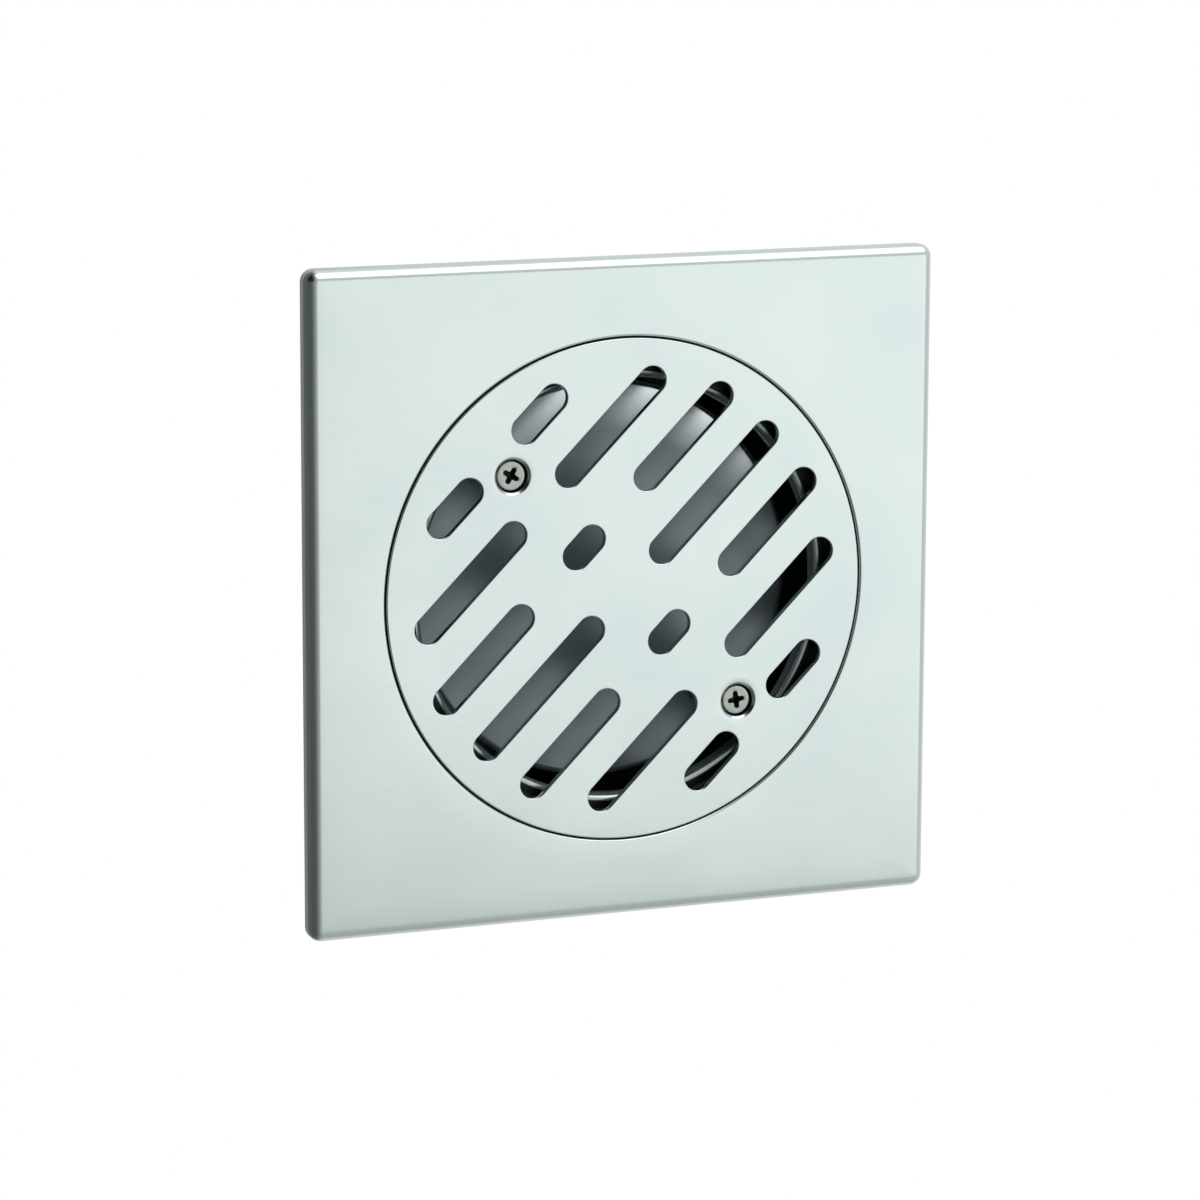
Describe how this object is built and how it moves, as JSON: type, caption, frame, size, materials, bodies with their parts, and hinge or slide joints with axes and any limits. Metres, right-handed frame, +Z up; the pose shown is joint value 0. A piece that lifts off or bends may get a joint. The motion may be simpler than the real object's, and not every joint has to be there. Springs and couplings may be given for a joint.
{
  "type": "floor drain grate",
  "caption": "Square stainless floor drain: pressed cover plate, flush round slotted grate that lifts out with its bell trap, deep drawn bowl and push-fit outlet.",
  "frame": {"origin": "centre of the grate's face, at finished floor level", "axes": "+Z up out of the floor, +X and +Y along the sides of the square plate, slots run along the +X+Y diagonal"},
  "size_m": [0.15, 0.15, 0.08],
  "materials": {
    "satin_plate": "satin stainless sheet",
    "drawn_steel": "drawn stainless, dull",
    "fastener": "plain stainless fastener",
    "seal_rubber": "matt moulded rubber"
  },
  "bodies": {
    "drain_body": {"cover_plate": "satin_plate", "seat_ring": "drawn_steel", "trap_bowl": "drawn_steel", "outlet_pipe": "drawn_steel", "pipe_seal_ring": "seal_rubber", "anchor_lug_1": "drawn_steel", "anchor_lug_2": "drawn_steel", "anchor_lug_3": "drawn_steel", "anchor_lug_4": "drawn_steel"},
    "lift_out_grate": {"grate": "satin_plate", "trap_bell": "drawn_steel", "spacer_1": "drawn_steel", "spacer_2": "drawn_steel", "bell_washer_1": "fastener", "bell_washer_2": "fastener", "bell_nut_1": "fastener", "bell_nut_2": "fastener"},
    "screw_1": {"grate_screw_1": "fastener"},
    "screw_2": {"grate_screw_2": "fastener"}
  },
  "joints": [
    {"name": "grate_lift", "type": "slide", "parent": "drain_body", "child": "lift_out_grate", "axis": [0, 0, 1], "range_m": [0, 0.06]},
    {"name": "screw_1_draw", "type": "slide", "parent": "lift_out_grate", "child": "screw_1", "axis": [0, 0, 1], "range_m": [0, 0.026]},
    {"name": "screw_2_draw", "type": "slide", "parent": "lift_out_grate", "child": "screw_2", "axis": [0, 0, 1], "range_m": [0, 0.026]}
  ]
}
